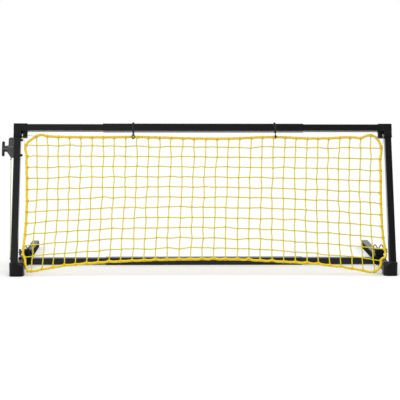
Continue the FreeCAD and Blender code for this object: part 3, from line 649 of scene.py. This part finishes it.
for side in ("left", "right"):
    build_tie(side)
build_lace("corner_lace_top_left",
           [[(-0.603, 0.028, 0.004), (-0.598, 0.0245, 0.0070), (-0.5865, 0.0245, 0.0072),
             (-0.582, 0.0245, 0.004), (-0.570, 0.0265, 0.002), (-0.560, 0.0280, 0.0040)],
            [(-0.603, 0.028, -0.004), (-0.6025, 0.033, -0.0070), (-0.599, 0.0365, -0.0065),
             (-0.5965, 0.046, -0.003), (-0.5945, 0.060, -0.0040)]],
           [(-0.560, 0.029), (-0.5915, 0.0620)])
build_lace("corner_lace_top_right",
           [[(0.603, 0.028, 0.004), (0.598, 0.0265, 0.0070), (0.5875, 0.0275, 0.0072),
             (0.584, 0.0285, 0.006), (0.580, 0.0300, 0.0042)],
            [(0.603, 0.028, -0.004), (0.6035, 0.033, -0.0070), (0.6035, 0.038, -0.0060),
             (0.6025, 0.050, -0.002), (0.5985, 0.0640, -0.0040)]],
           [(0.580, 0.031), (0.584, 0.036), (0.5965, 0.0650)])
build_lace("corner_lace_bottom_left",
           [[(-0.5861, 0.4878, 0.0), (-0.5835, 0.4886, -0.0025), (-0.580, 0.4876, -0.0045),
             (-0.5755, 0.4855, -0.0048)],
            [(-0.5861, 0.4868, 0.001), (-0.583, 0.4868, 0.003), (-0.579, 0.4858, 0.0048),
             (-0.5750, 0.4840, 0.0046)]],
           [(-0.5745, 0.4810)])
build_lace("corner_lace_bottom_right",
           [[(0.5861, 0.4930, 0.0), (0.5815, 0.4942, -0.0020), (0.573, 0.4930, -0.0040),
             (0.562, 0.4895, -0.0048)],
            [(0.5861, 0.4920, 0.001), (0.581, 0.4920, 0.0030), (0.572, 0.4910, 0.0045),
             (0.561, 0.4885, 0.0046)]],
           [(0.5615, 0.4860), (0.556, 0.4872)])


# Side cord, taut from the bracket's ferrule down to its anchor
CORD_R = 0.001
POST_SIDE = -POST_X - THIN / 2
END_GAP = 0.0002
FERRULE_OUT, FERRULE_END = 0.0093, 0.110
ANCHOR_OUT, ANCHOR_RISE = 0.0023, 0.019
CORD_BOW = Vector((0.0006, 0, 0))
CORD_TOP = on_frame(POST_SIDE - FERRULE_OUT, FERRULE_END + END_GAP)
CORD_FOOT = on_frame(POST_SIDE - ANCHOR_OUT, FRAME_HEIGHT - ANCHOR_RISE - END_GAP)
CORD_MIDDLE = (CORD_TOP + CORD_FOOT) / 2 - CORD_BOW


def build_side_cord():
    curve = bpy.data.curves.new("side_cord_line", "CURVE")
    curve.dimensions = "3D"
    curve.bevel_depth = CORD_R
    curve.bevel_resolution = 4
    curve.resolution_u = 12
    spline = curve.splines.new("NURBS")
    spline.points.add(2)
    for q, p in zip(spline.points, (CORD_TOP, CORD_MIDDLE, CORD_FOOT)):
        q.co = (*p, 1.0)
    spline.order_u = 3
    spline.use_endpoint_u = True
    obj = bpy.data.objects.new("side_cord_line", curve)
    bpy.context.scene.collection.objects.link(obj)
    curve.materials.append(MATS["side_cord"])
    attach(obj, "frame")
    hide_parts("side_cord")
    return obj


side_cord = build_side_cord()


# Stage: pale floor and soft light
FLOOR_HALF = 12.0
FLOOR_GREY = (0.6, 0.6, 0.6, 1)
GLOW_SIDE, GLOW_FRONT = 1.2, -2.5
GLOW_RISES = ((0.5, 3.0, 0.19), (3.0, 11.0, 0.13))
MIRROR_BEHIND, MIRROR_BESIDE, MIRROR_BEFORE = (0.42, 0.60), (0.8, 1.4), (-0.02, 0.04)
MIRROR_LIGHT = (0.04, 1.5)
WORLD_LIGHT = 0.70
STUDIO_FRONT, STUDIO_BACK = (0.42, 0.02), 1.0
LAMP_TARGET = Vector((0, 0, 0.2))
LAMPS = (
    ("overhead", (0.0, -0.3, 3.0), (1.4, 0.9), 26.0),
    ("front_left", (-3.0, -2.8, 1.1), (1.2, 1.0), 38.0),
    ("front_right", (2.0, -1.5, 2.8), (0.9, 0.9), 6.0),
    ("side_left", (-3.2, 0.4, 2.4), (1.3, 1.3), 22.0),
    ("side_right", (3.2, 0.4, 2.4), (1.3, 1.3), 22.0),
)


def floor():
    size = FLOOR_HALF
    mesh = bpy.data.meshes.new("floor")
    mesh.from_pydata([(-size, -size, 0), (size, -size, 0), (size, size, 0), (-size, size, 0)], [],
                     [(0, 1, 2, 3)])
    obj = bpy.data.objects.new("floor", mesh)
    bpy.context.scene.collection.objects.link(obj)
    m = bpy.data.materials.new("floor_white")
    m.use_nodes = True
    tree = m.node_tree
    tree.nodes.clear()
    out = tree.nodes.new("ShaderNodeOutputMaterial")
    place = node(tree, "ShaderNodeNewGeometry").outputs["Position"]
    across, deep, _ = node(tree, "ShaderNodeSeparateXYZ", {0: place}).outputs
    diffuse = node(tree, "ShaderNodeBsdfDiffuse", {"Color": FLOOR_GREY})
    aside = maths(tree, "ABSOLUTE", across)
    # a glow lifts the pale floor to the photograph's white, more so behind, beside and far in front
    strength = ramp(tree, deep, -1.5, -0.5, 0.39, 0.32)
    past_side = maths(tree, "SUBTRACT", aside, GLOW_SIDE)
    past_front = maths(tree, "SUBTRACT", GLOW_FRONT, deep)
    off = maths(tree, "MAXIMUM", maths(tree, "MAXIMUM", past_side, past_front), deep)
    for near, far, rise in GLOW_RISES:
        strength = maths(tree, "ADD", strength, ramp(tree, off, near, far, 0.0, rise))
    glow = node(tree, "ShaderNodeEmission", {"Strength": strength})
    lit = node(tree, "ShaderNodeAddShader", {0: diffuse.outputs[0], 1: glow.outputs[0]})
    # in reflections the floor is dark beside the object and bright further off
    behind = ramp(tree, deep, *MIRROR_BEHIND, 0.0, 1.0)
    beside = ramp(tree, aside, *MIRROR_BESIDE, 0.0, 1.0)
    before = ramp(tree, deep, *MIRROR_BEFORE, 0.35, 0.0)
    bright = maths(tree, "MAXIMUM", maths(tree, "MAXIMUM", behind, beside), before)
    mirrored = node(tree, "ShaderNodeEmission", {"Strength": ramp(tree, bright, 0.0, 1.0, *MIRROR_LIGHT)})
    path = node(tree, "ShaderNodeLightPath")
    shown = node(tree, "ShaderNodeMixShader", {0: seen_straight(tree, path), 1: diffuse.outputs[0],
                                               2: lit.outputs[0]})
    surface = node(tree, "ShaderNodeMixShader", {0: path.outputs["Is Glossy Ray"], 1: shown.outputs[0],
                                                 2: mirrored.outputs[0]})
    tree.links.new(surface.outputs[0], out.inputs["Surface"])
    mesh.materials.append(m)


def world():
    w = bpy.data.worlds.new("studio")
    bpy.context.scene.world = w
    w.use_nodes = True
    tree = w.node_tree
    tree.nodes.clear()
    out = tree.nodes.new("ShaderNodeOutputWorld")
    path = node(tree, "ShaderNodeLightPath")
    # reflections: a bright studio behind the object, a dim one in front that fades to the right
    way = node(tree, "ShaderNodeTexCoord").outputs["Generated"]
    across, back, _ = node(tree, "ShaderNodeSeparateXYZ", {0: way}).outputs
    dim = ramp(tree, across, -0.12, 0.08, *STUDIO_FRONT)
    share = ramp(tree, back, -0.4, 0.25, 0.0, 1.0)
    glossy = blend(tree, share, dim, STUDIO_BACK)
    lit = blend(tree, path.outputs["Is Glossy Ray"], WORLD_LIGHT, glossy)
    strength = blend(tree, seen_straight(tree, path), lit, 1.0)
    ground = node(tree, "ShaderNodeBackground", {"Color": (1, 1, 1, 1), "Strength": strength})
    tree.links.new(ground.outputs[0], out.inputs["Surface"])


def lamp(name, place, size, power):
    data = bpy.data.lights.new(name, "AREA")
    data.shape = "RECTANGLE"
    data.size, data.size_y = size
    data.energy = power
    obj = bpy.data.objects.new(name, data)
    bpy.context.scene.collection.objects.link(obj)
    obj.location = place
    obj.rotation_mode = "QUATERNION"
    obj.rotation_quaternion = (LAMP_TARGET - Vector(place)).to_track_quat("-Z", "Y")


floor()
world()
for lamp_facts in LAMPS:
    lamp(*lamp_facts)


# Camera at the photograph's viewpoint
CAMERA_PLACE = (-0.0935, -3.6970, 0.7589)
CAMERA_YAW = 0.0226
CAMERA_PITCH = 0.1440
CAMERA_ROLL = 0.0028
FOCAL_PIXELS = 1100.0
IMAGE_PIXELS = 400.0
SENSOR = 36.0
CLIP = (0.1, 60.0)


def camera():
    data = bpy.data.cameras.new("camera")
    data.sensor_width = SENSOR
    data.lens = FOCAL_PIXELS / IMAGE_PIXELS * SENSOR
    data.clip_start, data.clip_end = CLIP
    obj = bpy.data.objects.new("camera", data)
    bpy.context.scene.collection.objects.link(obj)
    obj.location = CAMERA_PLACE
    ahead = Vector((math.sin(CAMERA_YAW) * math.cos(CAMERA_PITCH),
                    math.cos(CAMERA_YAW) * math.cos(CAMERA_PITCH), -math.sin(CAMERA_PITCH)))
    right = Vector((math.cos(CAMERA_YAW), -math.sin(CAMERA_YAW), 0))
    up = right.cross(ahead)
    c, s = math.cos(CAMERA_ROLL), math.sin(CAMERA_ROLL)
    right, up = right * c + up * s, up * c - right * s
    obj.rotation_mode = "QUATERNION"
    obj.rotation_quaternion = Matrix((right, up, -ahead)).transposed().to_quaternion()
    bpy.context.scene.camera = obj


camera()
bpy.context.scene.view_settings.view_transform = "Standard"
